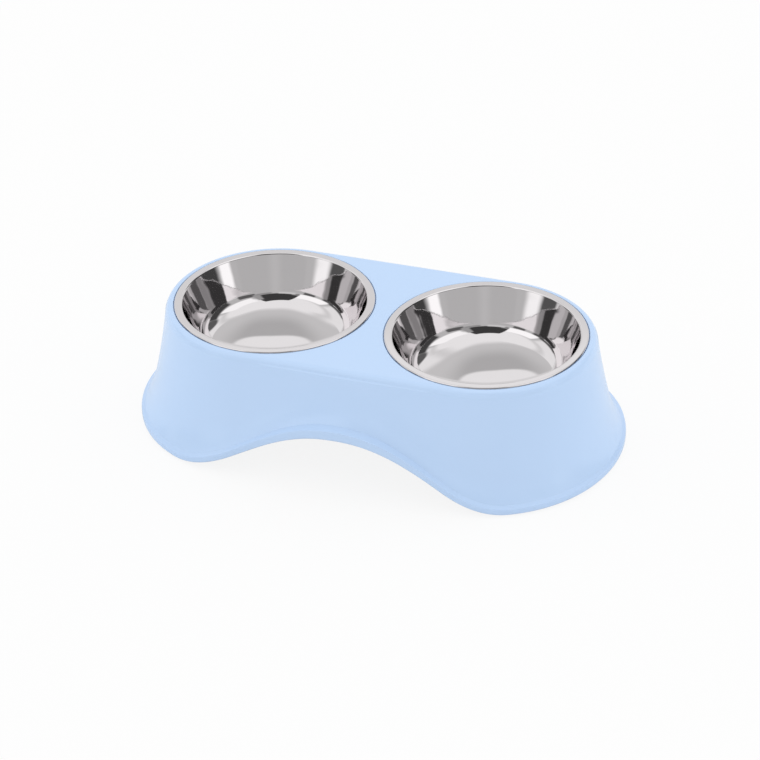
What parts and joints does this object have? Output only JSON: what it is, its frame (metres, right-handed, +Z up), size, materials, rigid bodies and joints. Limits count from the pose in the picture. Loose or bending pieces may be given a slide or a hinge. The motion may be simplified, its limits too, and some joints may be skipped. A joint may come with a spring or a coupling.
{
  "type": "double pet bowl",
  "caption": "Moulded raised stand with a flared, arched skirt, carrying lift-out steel feeding bowls side by side in round seats.",
  "frame": {"origin": "middle of the footprint, on the floor that the rubber feet stand on", "axes": "+X along the stand from the left bowl to the right bowl, -Y to the front, +Z up"},
  "size_m": [0.3952, 0.2246, 0.0952],
  "materials": {
    "stand_plastic": "smooth pale blue, softly glossy",
    "bowl_steel": "polished stainless steel",
    "foot_rubber": "matt light grey rubber"
  },
  "bodies": {
    "stand": {"stand": "stand_plastic", "front_left_foot": "foot_rubber", "front_right_foot": "foot_rubber", "rear_left_foot": "foot_rubber", "rear_right_foot": "foot_rubber"},
    "left_bowl": {"left_bowl": "bowl_steel"},
    "right_bowl": {"right_bowl": "bowl_steel"}
  },
  "joints": [
    {"name": "left_bowl_lift", "type": "slide", "parent": "stand", "child": "left_bowl", "axis": [0, 0, 1], "range_m": [0, 0.08]},
    {"name": "right_bowl_lift", "type": "slide", "parent": "stand", "child": "right_bowl", "axis": [0, 0, 1], "range_m": [0, 0.08]}
  ]
}
